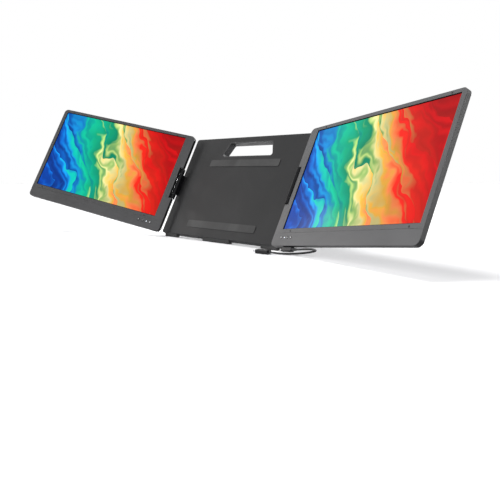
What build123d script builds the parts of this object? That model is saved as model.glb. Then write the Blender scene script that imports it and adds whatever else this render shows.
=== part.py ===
"""Laptop screen extender: a centre plate with a kickstand, and two hinged display wings.

The origin is on the table, in the middle of the base feet's sole. +X is to the right seen from the front,
+Y to the back, +Z up. Two slanted frames carry the pieces: `panel` for the centre plate and `wing.frame` for
each wing. In both, x is across, y is up along the lean, and z points out of the front. Wing pieces are placed
by `across` (outwards from the hinge edge), `up` (from the bottom edge) and `deep` (behind the front face).
"""

from build123d import *
from math import acos, cos, degrees, radians, sin
import os

os.makedirs("parts", exist_ok=True)

# ---- stance (degrees)
lean = 26.4
left_swing = 27.1
right_swing = 12.7

# ---- wings
wing_width = 341.0
wing_height = 211.0
wing_thickness = 9.0
wing_corner = 8.5
hinge_edge_inset = 9.0
active_width = 309.4
active_height = 174.0
outer_bezel = 9.5
top_bezel = 7.2
window_margin = 1.2
wing_skin = 1.5
wing_wall = 1.6
wing_split = 4.5
back_skin = 1.4
rear_edge_round = 1.3
front_edge_round = 0.5
chin_groove_up = 22.3
chin_groove_width = 0.9
chin_groove_depth = 0.4

# ---- what the wings hold
glass_thickness = 1.0
glass_margin = 4.0
backlight_thickness = 2.0
backlight_margin = 3.0
back_plate_thickness = 0.4
back_plate_margin = 3.5
board_across = (20.0, 150.0)
board_up = (4.0, 23.0)
board_deep = 4.0
board_thickness = 1.0
ribbon_thickness = 0.3
button_up = 14.0
button_across = (26.0, 44.0, 54.0)
button_radius = 2.3
button_proud = 0.5
button_flange = 0.8
led_across = 35.0
led_radius = 1.0
bumper_radius = 1.3
bumper_seat = 0.5
bumper_proud = 0.7
bumper_above_groove = 2.5
lower_bumper_across = 46.0
upper_bumper_across = 42.0
outer_bumper_inset = 26.0

# ---- wing hinges
hinge_up = 106.5
hinge_length = 65.0
notch_end_gap = 1.0
rear_notch_extra = 2.6
barrel_radius = 4.4
pin_radius = 1.6
sleeve_radius = 2.6
sleeve_count = 4
sleeve_spacing = 0.75
knuckle_length = 10.4
knuckle_gap = 0.6
left_pivot = (2.4, 7.25)
right_pivot = (4.0, 1.0)
web_thickness = 6.0
leaf_deep = 5.2
leaf_thickness = 1.4
leaf_head_sink = 0.8
leaf_reach = 44.0
leaf_screw_inset = 6.5
trim_reach = 12.8
trim_sink = 0.1
screw_radius = 1.0
screw_head_radius = 1.9
screw_head_height = 1.0

# ---- centre plate
plate_width = 352.0
plate_height = 207.0
plate_bottom = 5.0
plate_front = -14.0
plate_thickness = 14.0
plate_corner = 5.0
cover_thickness = 2.0
shell_skin = 2.2
shell_wall = 2.0
slot_bottom = 172.0
slot_height = 28.0
slot_top_half = 60.0
slot_bottom_half = 73.0
slot_corner = 4.0
liner_wall = 1.5
liner_inset = 0.6
panel_top = 197.0
panel_top_inner = 111.0
panel_bottom_inner = 78.0
panel_rim = 2.0
panel_thickness = 1.0
panel_pocket = 1.6
stiffener_inset = 18.0
stiffener_up = (14.0, 166.0)
stiffener_thickness = 1.2
pad_half = 100.0
pad_height = 14.0
pad_thickness = 0.8
pad_up = (29.0, 157.0)
flange_reach = 34.0
flange_thickness = 1.5
flange_margin = 8.0
flange_screw_inset = 5.5
flange_screw_reach = (29.7, 20.7)

# ---- base feet
panel_origin_height = 9.5
foot_station = -19.0
foot_sole = 7.0
foot_round = 1.5
foot_length = 40.0
foot_inset = 11.0
foot_middle_half = 40.0
foot_front_cover = 1.0
foot_rear_cover = 5.0

# ---- kickstand
stand_length = 147.0
stand_thickness = 4.0
stand_foot_reach = 0.5
stand_top_half = 78.0
stand_waist_half = 55.5
stand_waist_rise = 16.0
stand_shin_half = 33.0
stand_foot_half = 31.0
stand_foot_height = 5.5
stand_tab_inner = 49.0
field_top = 17.0
field_top_half = 48.0
field_waist_rise = 32.0
field_waist_half = 31.5
field_bottom_rise = 17.0
field_bottom_half = 8.0
field_depth = 1.8
field_edge = 0.8
inlay_thickness = 0.8
window_rise = 50.0
window_inset = 1.5
stand_pin_radius = 1.2
stand_pin_hold = 14.0
stand_pin_end_gap = 1.0
housing_length = 12.0
housing_half = 4.5
housing_depth = 6.0
housing_skin = 0.6

# ---- USB-C socket, plugs and lead
socket_across = (40.0, 58.0)
socket_deep = 5.4
socket_length = 7.5
socket_mouth = (8.6, 2.8)
socket_wall = 0.3
socket_set_back = 0.6
plug_tip = (8.3, 2.5)
plug_body = (11.5, 6.8)
plug_drop = 7.5
plug_arm = 28.0
plug_boot = 10.0
lead_diameter = 3.2
far_plug_length = 24.0
far_tip_length = 6.5

# ---- clearances
running_gap = 0.05
press_gap = 0.01
slip_gap = 0.1
trim_gap = 0.2
seat_gap = 0.3
notch_gap = 0.8
stand_gap = 1.0
stand_depth_gap = 0.4

# ---- frames
X = Vector(1, 0, 0)
UP = Vector(0, sin(radians(lean)), cos(radians(lean)))
FRONT = Vector(0, -cos(radians(lean)), sin(radians(lean)))
foot_centre = UP * plate_bottom + FRONT * foot_station
panel = Plane(origin=(0, -foot_centre.Y, panel_origin_height), x_dir=X, z_dir=FRONT)
hinge_edge_span = plate_width - 2 * hinge_edge_inset
notch_length = hinge_length + 2 * notch_end_gap
barrel_length = hinge_length - 2 * (knuckle_length + knuckle_gap)
stiffener_half = plate_width / 2 - stiffener_inset
chin_height = wing_height - active_height - top_bezel
inner_bezel = wing_width - active_width - outer_bezel
stand_pivot_up = plate_bottom + stand_length + stand_thickness / 2 - stand_foot_reach
stand_waist = stand_length - stand_waist_rise
field_waist = stand_length - field_waist_rise
field_bottom = stand_length - field_bottom_rise
window_top = stand_length - window_rise
plate_back = plate_front - plate_thickness
cover_back = plate_front - cover_thickness
skin_inside = plate_back + shell_skin


class Wing:
    """One display wing: which side it is on, its frame and where its hinge axis runs."""

    def __init__(self, name, side, swing, pivot):
        turn = radians(swing)
        edge = panel.from_local_coords((side * hinge_edge_span / 2, 0, 0))
        self.name = name
        self.side = side
        self.frame = Plane(
            origin=edge,
            x_dir=X * cos(turn) + FRONT * (side * sin(turn)),
            z_dir=FRONT * cos(turn) - X * (side * sin(turn)),
        )
        self.pivot_across, self.pivot_deep = pivot
        self.barrel_edge = pivot[0] + barrel_radius
        self.front_notch = self.barrel_edge + notch_gap
        self.rear_notch = self.front_notch + rear_notch_extra
        self.axis_point = self.frame.from_local_coords((side * pivot[0], 0, -pivot[1]))
        self.axis_in_panel = panel.to_local_coords(self.axis_point)

    def at(self, across, up):
        """A sketch position on this wing."""
        return (self.side * across, up)

    def span(self, across, up):
        """The centre and size of a rectangle that runs between two distances across and two heights."""
        centre = self.at(sum(across) / 2, sum(up) / 2)
        return centre, abs(across[1] - across[0]), abs(up[1] - up[0])

    def layer(self, deep):
        """The plane at a depth behind the wing's front face."""
        return self.frame.offset(-deep)


left = Wing("left", -1, left_swing, left_pivot)
right = Wing("right", 1, right_swing, right_pivot)
socket_plane = Plane(right.frame.origin, x_dir=right.frame.x_dir, z_dir=-right.frame.y_dir)
socket_centres = [(across, -socket_deep) for across in socket_across]
socket_top = socket_set_back + socket_length


def save(piece, label):
    """Labels a finished piece and writes its STEP file."""
    piece.part.label = label
    export_step(piece.part, f"parts/{label}.step")


def box_on(wing, across, up, deep, mode=Mode.ADD):
    """A rectangular block on a wing, between two distances across, two heights and two depths."""
    centre, width, height = wing.span(across, up)
    with BuildSketch(wing.layer(deep[0])) as outline:
        with Locations(centre):
            Rectangle(width, height)
    extrude(outline.sketch, amount=-(deep[1] - deep[0]), mode=mode)


def disc_on(wing, spots, radius, deep, mode=Mode.ADD):
    """Round pegs or holes on a wing, at each (across, up) spot, between two depths."""
    with BuildSketch(wing.layer(deep[0])) as outline:
        with Locations(*[wing.at(*spot) for spot in spots]):
            Circle(radius)
    extrude(outline.sketch, amount=-(deep[1] - deep[0]), mode=mode)


# ==== wing casing ====


def casing_outline(wing, notch, inset=0.0):
    """The wing's rounded outline with a hinge notch in its inner edge, drawn inside by `inset`."""
    with Locations(wing.at(wing_width / 2, wing_height / 2)):
        RectangleRounded(wing_width - 2 * inset, wing_height - 2 * inset, wing_corner - inset)
    with Locations(wing.at((notch + inset) / 2, hinge_up)):
        Rectangle(notch + inset, notch_length + 2 * inset, mode=Mode.SUBTRACT)


def slots_up(centres, size, start, end, mode=Mode.ADD):
    """Rounded bars or holes that rise from the right wing's bottom edge, between two heights."""
    with BuildSketch(socket_plane.offset(-start)) as outline:
        with Locations(*centres):
            SlotOverall(*size)
    extrude(outline.sketch, amount=-(end - start), mode=mode)


def socket_mouths(wing):
    """The mouths of the USB-C sockets in the bottom edge, when this wing has sockets."""
    if wing is right:
        size = [side + 2 * (socket_wall + slip_gap) for side in socket_mouth]
        slots_up(socket_centres, size, -1, wing_wall + 1, Mode.SUBTRACT)


bumper_spots = (
    (lower_bumper_across, chin_groove_up + bumper_above_groove),
    (upper_bumper_across, wing_height - top_bezel / 2),
    (wing_width - outer_bumper_inset, chin_groove_up + bumper_above_groove),
    (wing_width - outer_bumper_inset, wing_height - top_bezel / 2),
)
board_screw_spots = ((72.0, 18.5), (104.0, 8.0), (142.0, 18.5))
leaf_screw_half = hinge_length / 2 - leaf_screw_inset
leaf_screw_ups = (hinge_up - leaf_screw_half, hinge_up + leaf_screw_half)
leaf_screw_spots = tuple((across, up) for across in (26.0, 38.0) for up in leaf_screw_ups)
leaf_slot_ups = tuple(hinge_up + s * (hinge_length - knuckle_length) / 2 for s in (-1, 1))


def front_bezel(wing):
    """The front frame: a skin with the display window, and the front half of the side walls."""
    with BuildPart() as bezel:
        with BuildSketch(wing.frame):
            casing_outline(wing, wing.front_notch)
        extrude(amount=-wing_split)
        rim = bezel.faces().sort_by(Axis(wing.frame.origin, wing.frame.z_dir))[-1].outer_wire().edges()
        fillet(rim, radius=front_edge_round)
        with BuildSketch(wing.layer(wing_skin)):
            casing_outline(wing, wing.front_notch, wing_wall)
        extrude(amount=-(wing_split - wing_skin), mode=Mode.SUBTRACT)
        window_across = (inner_bezel - window_margin, inner_bezel + active_width + window_margin)
        window_up = (chin_height - window_margin, chin_height + active_height + window_margin)
        box_on(wing, window_across, window_up, (0, wing_skin), Mode.SUBTRACT)
        groove_up = (chin_groove_up - chin_groove_width, chin_groove_up)
        box_on(wing, (-1, wing_width + 1), groove_up, (0, chin_groove_depth), Mode.SUBTRACT)
        trim_up = (hinge_up - notch_length / 2, hinge_up + notch_length / 2)
        box_on(wing, (-1, trim_reach), trim_up, (0, wing_skin), Mode.SUBTRACT)
        disc_on(wing, board_screw_spots, 2.4, (wing_skin, board_deep))
        disc_on(wing, board_screw_spots, 0.8 + running_gap, (wing_skin + 0.3, board_deep), Mode.SUBTRACT)
        spots = [(across, button_up) for across in button_across]
        disc_on(wing, spots, button_radius + slip_gap, (0, wing_skin), Mode.SUBTRACT)
        disc_on(wing, [(led_across, button_up)], led_radius + running_gap, (0, wing_skin), Mode.SUBTRACT)
        disc_on(wing, bumper_spots, bumper_radius + running_gap, (0, bumper_seat), Mode.SUBTRACT)
        socket_mouths(wing)
    return bezel


def rear_cover(wing):
    """The back of the wing: a skin, the rear half of the side walls and the bosses for the hinge leaf."""
    with BuildPart() as cover:
        with BuildSketch(wing.layer(wing_split)):
            casing_outline(wing, wing.rear_notch)
        extrude(amount=-(wing_thickness - wing_split))
        rim = cover.faces().sort_by(Axis(wing.frame.origin, wing.frame.z_dir))[0].outer_wire().edges()
        chamfer(rim, length=rear_edge_round)
        with BuildSketch(wing.layer(wing_split)):
            casing_outline(wing, wing.rear_notch, wing_wall)
        extrude(amount=-(wing_thickness - wing_split - back_skin), mode=Mode.SUBTRACT)
        inside = wing_thickness - back_skin
        for up in leaf_slot_ups:
            slot_up = (up - knuckle_length / 2 - seat_gap, up + knuckle_length / 2 + seat_gap)
            slot_deep = (leaf_deep - slip_gap, leaf_deep + leaf_thickness + slip_gap)
            slot_across = (wing.rear_notch - 1, wing.rear_notch + wing_wall + 1)
            box_on(wing, slot_across, slot_up, slot_deep, Mode.SUBTRACT)
        boss_top = leaf_deep + leaf_thickness
        disc_on(wing, leaf_screw_spots, 2.8, (boss_top, inside))
        disc_on(wing, leaf_screw_spots, screw_radius + running_gap, (boss_top, inside), Mode.SUBTRACT)
        socket_mouths(wing)
    return cover


def hinge_trim(wing):
    """The flush strip beside the hinge notch on the front."""
    with BuildPart() as trim:
        half = notch_length / 2 - trim_gap
        across = (wing.front_notch, trim_reach - trim_gap)
        box_on(wing, across, (hinge_up - half, hinge_up + half), (trim_sink, wing_skin))
    return trim


# ==== display stack ====


def display_layer(wing, margin, deep, thickness):
    """One sheet of the display, larger than the lit area by `margin` on every side."""
    with BuildPart() as sheet:
        across = (inner_bezel - margin, inner_bezel + active_width + margin)
        top_margin = min(margin, top_bezel - wing_wall - seat_gap)
        up = (chin_height - margin, chin_height + active_height + top_margin)
        box_on(wing, across, up, (deep, deep + thickness))
    return sheet


glass_deep = wing_skin
backlight_deep = glass_deep + glass_thickness
back_plate_deep = backlight_deep + backlight_thickness
back_plate_back = back_plate_deep + back_plate_thickness


# ==== electronics ====


def control_board(wing):
    """The circuit board in the chin, cut out round the sockets that sit in it."""
    board_layer = (board_deep, board_deep + board_thickness)
    with BuildPart() as board:
        box_on(wing, board_across, board_up, board_layer)
        if wing is right:
            half = socket_mouth[0] / 2 + socket_wall + slip_gap
            cut_up = (board_up[0] - 1, socket_top + slip_gap)
            for across in socket_across:
                box_on(wing, (across - half, across + half), cut_up, board_layer, Mode.SUBTRACT)
        disc_on(wing, board_screw_spots, 0.8 + slip_gap, board_layer, Mode.SUBTRACT)
    return board


def board_components(wing):
    """Three key switches on the board's front, and two chips and a connector on its back."""
    with BuildPart() as components:
        switch_up = (button_up - 2, button_up + 2)
        for across in button_across:
            box_on(wing, (across - 2, across + 2), switch_up, (board_deep - 1.0, board_deep))
        board_back = board_deep + board_thickness
        box_on(wing, (64, 78), (9.5, 15.5), (board_back, board_back + 1.2))
        box_on(wing, (112, 122), (8, 18), (board_back, board_back + 1.2))
        box_on(wing, (126, 136), (6, 10), (board_back, board_back + 1.6))
    return components


def display_ribbon(wing):
    """The flat lead from the board to the back of the display."""
    with BuildPart() as ribbon:
        deep = board_deep + board_thickness
        box_on(wing, (82, 100), (board_up[1] - 8, chin_height + 14), (deep, deep + ribbon_thickness))
    return ribbon


def button(wing, across):
    """A push button: a cap that stands a little proud, on a flange behind the bezel."""
    with BuildPart() as key:
        disc_on(wing, [(across, button_up)], button_radius, (-button_proud, wing_skin))
        top = key.faces().sort_by(Axis(wing.frame.origin, wing.frame.z_dir))[-1].edges()
        fillet(top, radius=0.3)
        disc_on(wing, [(across, button_up)], button_radius + 0.8, (wing_skin, wing_skin + button_flange))
    return key


def status_led(wing):
    """The light pipe beside the buttons, flush with the bezel, standing on the board."""
    with BuildPart() as led:
        disc_on(wing, [(led_across, button_up)], led_radius, (0, board_deep))
    return led


def front_bumpers(wing):
    """Small rubber bumpers that keep the folded wings apart."""
    with BuildPart() as bumpers:
        disc_on(wing, bumper_spots, bumper_radius, (-bumper_proud, bumper_seat))
        tops = bumpers.faces().group_by(Axis(wing.frame.origin, wing.frame.z_dir))[-1].edges()
        fillet(tops, radius=0.4)
    return bumpers


# ==== wing hinge ====


def knuckles_plane(wing, up):
    """The plane square to the hinge axis at a height on the wing, facing up."""
    return Plane(origin=wing.axis_point + UP * up, x_dir=wing.frame.x_dir, z_dir=UP)


def hinge_leaf(wing):
    """The wing's half of the hinge: two knuckles, a strip that fills the notch and a plate in the casing."""
    leaf_back = leaf_deep + leaf_thickness
    neck_across = (wing.pivot_across, wing.front_notch - slip_gap)
    neck_deep = (min(leaf_deep, wing.pivot_deep - 0.6), max(leaf_back, wing.pivot_deep + 0.6))
    tongue_across = (wing.pivot_across, wing.rear_notch + wing_wall + 2)
    strip_across = (wing.barrel_edge + notch_gap / 2, wing.rear_notch - slip_gap)
    strip_half = notch_length / 2 - slip_gap
    with BuildPart() as leaf:
        for up in leaf_slot_ups:
            ends = (up - knuckle_length / 2, up + knuckle_length / 2)
            with BuildSketch(knuckles_plane(wing, ends[0])):
                Circle(barrel_radius)
            extrude(amount=knuckle_length)
            box_on(wing, neck_across, ends, neck_deep)
            box_on(wing, tongue_across, ends, (leaf_deep, leaf_back))
        strip_up = (hinge_up - strip_half, hinge_up + strip_half)
        box_on(wing, strip_across, strip_up, (wing_split + slip_gap, leaf_back))
        plate_up = (hinge_up - hinge_length / 2, hinge_up + hinge_length / 2)
        box_on(wing, (wing.rear_notch + wing_wall + 1, leaf_reach), plate_up, (leaf_deep, leaf_back))
        disc_on(wing, leaf_screw_spots, screw_radius + slip_gap, (leaf_deep, leaf_back), Mode.SUBTRACT)
        sink = (leaf_deep, leaf_deep + leaf_head_sink)
        disc_on(wing, leaf_screw_spots, screw_head_radius + slip_gap, sink, Mode.SUBTRACT)
        with BuildSketch(knuckles_plane(wing, hinge_up - hinge_length / 2)):
            Circle(pin_radius + press_gap)
        extrude(amount=hinge_length, mode=Mode.SUBTRACT)
    return leaf


def hinge_pin(wing):
    """The steel pin, as long as the hinge."""
    with BuildPart() as pin:
        with BuildSketch(knuckles_plane(wing, hinge_up - hinge_length / 2)):
            Circle(pin_radius)
        extrude(amount=hinge_length)
    return pin


neck_outer = plate_width / 2 - shell_wall - seat_gap
flange_half = barrel_length / 2 + flange_margin
flange_screw_ups = (hinge_up - flange_half + flange_screw_inset, hinge_up + flange_half - flange_screw_inset)
flange_screw_acrosses = tuple(neck_outer - reach for reach in flange_screw_reach)
flange_screw_spots = tuple((across, up) for across in flange_screw_acrosses for up in flange_screw_ups)


def bracket_block(side, x, z, half_height):
    """A block of the bracket, between two distances from the middle and two depths."""
    with BuildSketch(panel.offset(z[0])) as outline:
        with Locations((side * sum(x) / 2, hinge_up)):
            Rectangle(x[1] - x[0], 2 * half_height)
    extrude(outline.sketch, amount=z[1] - z[0])


def hinge_bracket(wing):
    """The centre plate's half of the hinge: a barrel on a web, and a flange screwed to the stiffener."""
    pivot_x = abs(wing.axis_in_panel.X)
    flange_front = cover_back - stiffener_thickness
    flange_back = flange_front - flange_thickness
    web_x = (pivot_x - web_thickness / 2, pivot_x + web_thickness / 2)
    half = barrel_length / 2
    with BuildPart() as bracket:
        bracket_block(wing.side, web_x, (cover_back + seat_gap, wing.axis_in_panel.Z), half)
        bracket_block(wing.side, (web_x[0], neck_outer), (flange_back, cover_back + seat_gap), half)
        flange_x = (neck_outer - flange_reach, neck_outer)
        bracket_block(wing.side, flange_x, (flange_back, flange_front), flange_half)
        with BuildSketch(knuckles_plane(wing, hinge_up - half)):
            Circle(barrel_radius)
        extrude(amount=barrel_length)
        with BuildSketch(knuckles_plane(wing, hinge_up - half)):
            Circle(sleeve_radius + press_gap)
        extrude(amount=barrel_length, mode=Mode.SUBTRACT)
        with BuildSketch(panel.offset(flange_front)):
            with Locations(*[(wing.side * x, y) for x, y in flange_screw_spots]):
                Circle(screw_radius + slip_gap)
        extrude(amount=-flange_thickness, mode=Mode.SUBTRACT)
    return bracket


def friction_sleeves(wing):
    """The sleeves in the barrel that grip the pin."""
    pitch = barrel_length / sleeve_count
    sleeve_length = pitch - sleeve_spacing
    with BuildPart() as sleeves:
        for i in range(sleeve_count):
            start = hinge_up - barrel_length / 2 + (i + 0.5) * pitch - sleeve_length / 2
            with BuildSketch(knuckles_plane(wing, start)):
                Circle(sleeve_radius)
                Circle(pin_radius + running_gap, mode=Mode.SUBTRACT)
            extrude(amount=sleeve_length)
    return sleeves


def wing_screws(wing):
    """Four screws that hold the hinge leaf and three that hold the board."""
    with BuildPart() as screws:
        head_back = leaf_deep + leaf_head_sink
        disc_on(wing, leaf_screw_spots, screw_head_radius, (leaf_deep + slip_gap, head_back))
        disc_on(wing, leaf_screw_spots, screw_radius, (head_back, wing_thickness - back_skin))
        board_back = board_deep + board_thickness
        disc_on(wing, board_screw_spots, 0.8, (wing_skin + 0.3, board_back))
        disc_on(wing, board_screw_spots, 1.6, (board_back, board_back + 0.8))
    return screws


for wing in (left, right):
    save(front_bezel(wing), f"{wing.name}_front_bezel")
    save(rear_cover(wing), f"{wing.name}_rear_cover")
    save(hinge_trim(wing), f"{wing.name}_hinge_trim")
    save(display_layer(wing, glass_margin, glass_deep, glass_thickness), f"{wing.name}_display_glass")
    save(display_layer(wing, backlight_margin, backlight_deep, backlight_thickness), f"{wing.name}_backlight")
    back_plate = display_layer(wing, back_plate_margin, back_plate_deep, back_plate_thickness)
    save(back_plate, f"{wing.name}_display_back_plate")
    save(control_board(wing), f"{wing.name}_control_board")
    save(board_components(wing), f"{wing.name}_board_components")
    save(display_ribbon(wing), f"{wing.name}_display_ribbon")
    for key, across in zip(("power_button", "minus_button", "plus_button"), button_across):
        save(button(wing, across), f"{wing.name}_{key}")
    save(status_led(wing), f"{wing.name}_status_led")
    save(front_bumpers(wing), f"{wing.name}_front_bumpers")
    save(hinge_leaf(wing), f"{wing.name}_hinge_leaf")
    save(hinge_pin(wing), f"{wing.name}_hinge_pin")
    save(hinge_bracket(wing), f"{wing.name}_hinge_bracket")
    save(friction_sleeves(wing), f"{wing.name}_friction_sleeves")
    save(wing_screws(wing), f"{wing.name}_wing_screws")


# ==== centre plate ====


def plate_outline(inset=0.0):
    """The centre plate's rounded outline, drawn inside by `inset`."""
    with Locations((0, plate_bottom + plate_height / 2)):
        RectangleRounded(plate_width - 2 * inset, plate_height - 2 * inset, plate_corner - inset)


def symmetric(half_outline):
    """A closed outline from its right half, listed from the top down."""
    return [*half_outline, *[(-x, y) for x, y in reversed(half_outline)]]


def slot_through(grow, start, end, mode):
    """The carrying slot, drawn outside by `grow` and carried between two depths of the plate."""
    top = slot_bottom + slot_height
    half = [(slot_top_half + grow, top + grow), (slot_bottom_half + grow, slot_bottom - grow)]
    with BuildSketch(panel.offset(start)) as outline:
        Polygon(symmetric(half))
        fillet(outline.vertices(), radius=slot_corner + grow)
    extrude(outline.sketch, amount=end - start, mode=mode)


def stand_outline(grow, foot_end):
    """The kickstand's outline in its stowed place, drawn outside by `grow` and ending at `foot_end`."""
    half = [
        (stand_top_half + grow, stand_pivot_up + stand_thickness / 2 + grow),
        (stand_waist_half + grow, stand_pivot_up - stand_waist),
        (stand_shin_half + grow, foot_end + stand_foot_height),
        (stand_shin_half + grow, foot_end),
    ]
    Polygon(symmetric(half))


def side_panel_outline(side, inset=0.0):
    """The flat field beside the centre hump, drawn inside by `inset`."""
    outer = plate_width / 2 - panel_rim - inset
    low = plate_bottom + panel_rim + inset
    Polygon(
        (side * (panel_top_inner + inset), panel_top - inset),
        (side * outer, panel_top - inset),
        (side * outer, low),
        (side * (panel_bottom_inner + inset), low),
    )


stand_pocket = stand_thickness + stand_depth_gap
housing_inner = stand_top_half + stand_gap + shell_wall
housing_x = (housing_inner, housing_inner + housing_length)

with BuildPart() as rear_shell:
    with BuildSketch(panel.offset(cover_back)):
        plate_outline()
    extrude(amount=-(plate_thickness - cover_thickness))
    shell_rim = rear_shell.faces().sort_by(Axis(panel.origin, panel.z_dir))[0].outer_wire().edges()
    chamfer(shell_rim, length=1.2)
    with BuildSketch(panel.offset(cover_back)):
        plate_outline(shell_wall)
    extrude(amount=skin_inside - cover_back, mode=Mode.SUBTRACT)
    with BuildSketch(panel.offset(skin_inside)):
        stand_outline(stand_gap + shell_wall, plate_bottom)
    extrude(amount=stand_pocket + 1.8 - shell_skin)
    with BuildSketch(panel.offset(plate_back)):
        stand_outline(stand_gap, plate_bottom - 1)
    extrude(amount=stand_pocket, mode=Mode.SUBTRACT)
    with BuildSketch(panel.offset(plate_back)):
        side_panel_outline(1)
        side_panel_outline(-1)
    extrude(amount=panel_pocket, mode=Mode.SUBTRACT)
    slot_through(liner_wall + slip_gap, plate_back, cover_back, Mode.SUBTRACT)
    for side in (-1, 1):
        housing_centre = (side * sum(housing_x) / 2, stand_pivot_up)
        with BuildSketch(panel.offset(plate_back + housing_skin)):
            with Locations(housing_centre):
                Rectangle(housing_x[1] - housing_x[0] + 2 * slip_gap, 2 * (housing_half + slip_gap))
        extrude(amount=shell_skin, mode=Mode.SUBTRACT)
    stand_axis = panel.from_local_coords((0, stand_pivot_up, plate_back + stand_thickness / 2))
    with BuildSketch(Plane(origin=stand_axis, x_dir=UP, z_dir=X)):
        Circle(stand_pin_radius + seat_gap)
    extrude(amount=housing_x[0], both=True, mode=Mode.SUBTRACT)
save(rear_shell, "rear_shell")

with BuildPart() as front_plate:
    with BuildSketch(panel.offset(cover_back)):
        plate_outline()
    extrude(amount=cover_thickness)
    plate_rim = front_plate.faces().sort_by(Axis(panel.origin, panel.z_dir))[-1].outer_wire().edges()
    chamfer(plate_rim, length=0.6)
    slot_through(liner_wall + slip_gap, cover_back, plate_front, Mode.SUBTRACT)
    for wing in (left, right):
        web_inner = abs(wing.axis_in_panel.X) - web_thickness / 2 - slip_gap
        web_outer = plate_width / 2 + 1
        with BuildSketch(panel.offset(cover_back)):
            with Locations((wing.side * (web_inner + web_outer) / 2, hinge_up)):
                Rectangle(web_outer - web_inner, barrel_length + 2 * seat_gap)
        extrude(amount=cover_thickness, mode=Mode.SUBTRACT)
save(front_plate, "front_plate")

with BuildPart() as handle_liner:
    slot_through(liner_wall, plate_back + liner_inset, plate_front, Mode.ADD)
    slot_through(0, plate_back + liner_inset, plate_front, Mode.SUBTRACT)
save(handle_liner, "handle_liner")

for name, side in (("left_back_panel", -1), ("right_back_panel", 1)):
    with BuildPart() as back_panel:
        with BuildSketch(panel.offset(plate_back + panel_pocket)):
            side_panel_outline(side, slip_gap)
        extrude(amount=-panel_thickness)
    save(back_panel, name)

with BuildPart() as stiffener_plate:
    with BuildSketch(panel.offset(cover_back)):
        with Locations((0, sum(stiffener_up) / 2)):
            Rectangle(2 * stiffener_half, stiffener_up[1] - stiffener_up[0])
    extrude(amount=-stiffener_thickness)
    with BuildSketch(panel.offset(cover_back)):
        with Locations(*[(side * x, y) for side in (-1, 1) for x, y in flange_screw_spots]):
            Circle(screw_radius + running_gap)
    extrude(amount=-stiffener_thickness, mode=Mode.SUBTRACT)
save(stiffener_plate, "stiffener_plate")

with BuildPart() as centre_screws:
    flange_back = cover_back - stiffener_thickness - flange_thickness
    with BuildSketch(panel.offset(cover_back)):
        with Locations(*[(side * x, y) for side in (-1, 1) for x, y in flange_screw_spots]):
            Circle(screw_radius)
    extrude(amount=flange_back - cover_back)
    with BuildSketch(panel.offset(flange_back)):
        with Locations(*[(side * x, y) for side in (-1, 1) for x, y in flange_screw_spots]):
            Circle(screw_head_radius)
    extrude(amount=-screw_head_height)
save(centre_screws, "centre_screws")

with BuildPart() as signal_ribbon:
    with BuildSketch(panel.offset(cover_back - stiffener_thickness)):
        with Locations((0, stiffener_up[1] - 8)):
            Rectangle(2 * stiffener_half, 10)
    extrude(amount=-ribbon_thickness)
save(signal_ribbon, "signal_ribbon")

with BuildPart() as lid_pads:
    with BuildSketch(panel.offset(plate_front)):
        for up in pad_up:
            with Locations((0, up)):
                RectangleRounded(2 * pad_half, pad_height, 3)
    extrude(amount=pad_thickness)
save(lid_pads, "lid_pads")

# The feet's tops lie on the plate's slanted bottom face, and their soles lie flat on the table.
foot_front = panel.from_local_coords((0, plate_bottom, plate_front - foot_front_cover))
foot_rear = panel.from_local_coords((0, plate_bottom, plate_back + foot_rear_cover))
foot_outer = plate_width / 2 - foot_inset
foot_inner = foot_outer - foot_length
foot_spans = ((-foot_outer, -foot_inner), (-foot_middle_half, foot_middle_half), (foot_inner, foot_outer))
with BuildPart() as base_feet:
    for span in foot_spans:
        with BuildSketch(Plane.YZ.offset(span[0])):
            with BuildLine():
                Polyline(
                    (foot_front.Y, foot_front.Z),
                    (-foot_sole / 2, 0),
                    (foot_sole / 2, 0),
                    (foot_rear.Y, foot_rear.Z),
                    close=True,
                )
            make_face()
        extrude(amount=span[1] - span[0])
    sole_edges = base_feet.edges().filter_by(Axis.X).group_by(Axis.Z)[0]
    fillet(sole_edges, radius=foot_round)
save(base_feet, "base_feet")

# ==== kickstand ====

tip_radius = stand_thickness / 2
pivot_height = stand_axis.Z
stand_angle = lean + degrees(acos((pivot_height - tip_radius) / stand_length))
stand_turn = radians(stand_angle)
stand = Plane(origin=stand_axis, x_dir=X, z_dir=FRONT * cos(stand_turn) - UP * sin(stand_turn))
stand_front = stand_thickness / 2
stand_pin_inner = stand_top_half - stand_pin_hold
stand_pin_outer = housing_x[1] - stand_pin_end_gap
frame_end = stand_length + tip_radius - stand_foot_height


def field_outline(inset=0.0, top=field_top):
    """The sunken field on the kickstand, or its lower part below `top`, drawn inside by `inset`."""
    share = (top - field_top) / (field_waist - field_top)
    top_half = field_top_half + share * (field_waist_half - field_top_half)
    half = [
        (top_half - inset, -top - inset),
        (field_waist_half - inset, -field_waist),
        (field_bottom_half, -field_bottom + inset),
    ]
    Polygon(symmetric(half))


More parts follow.
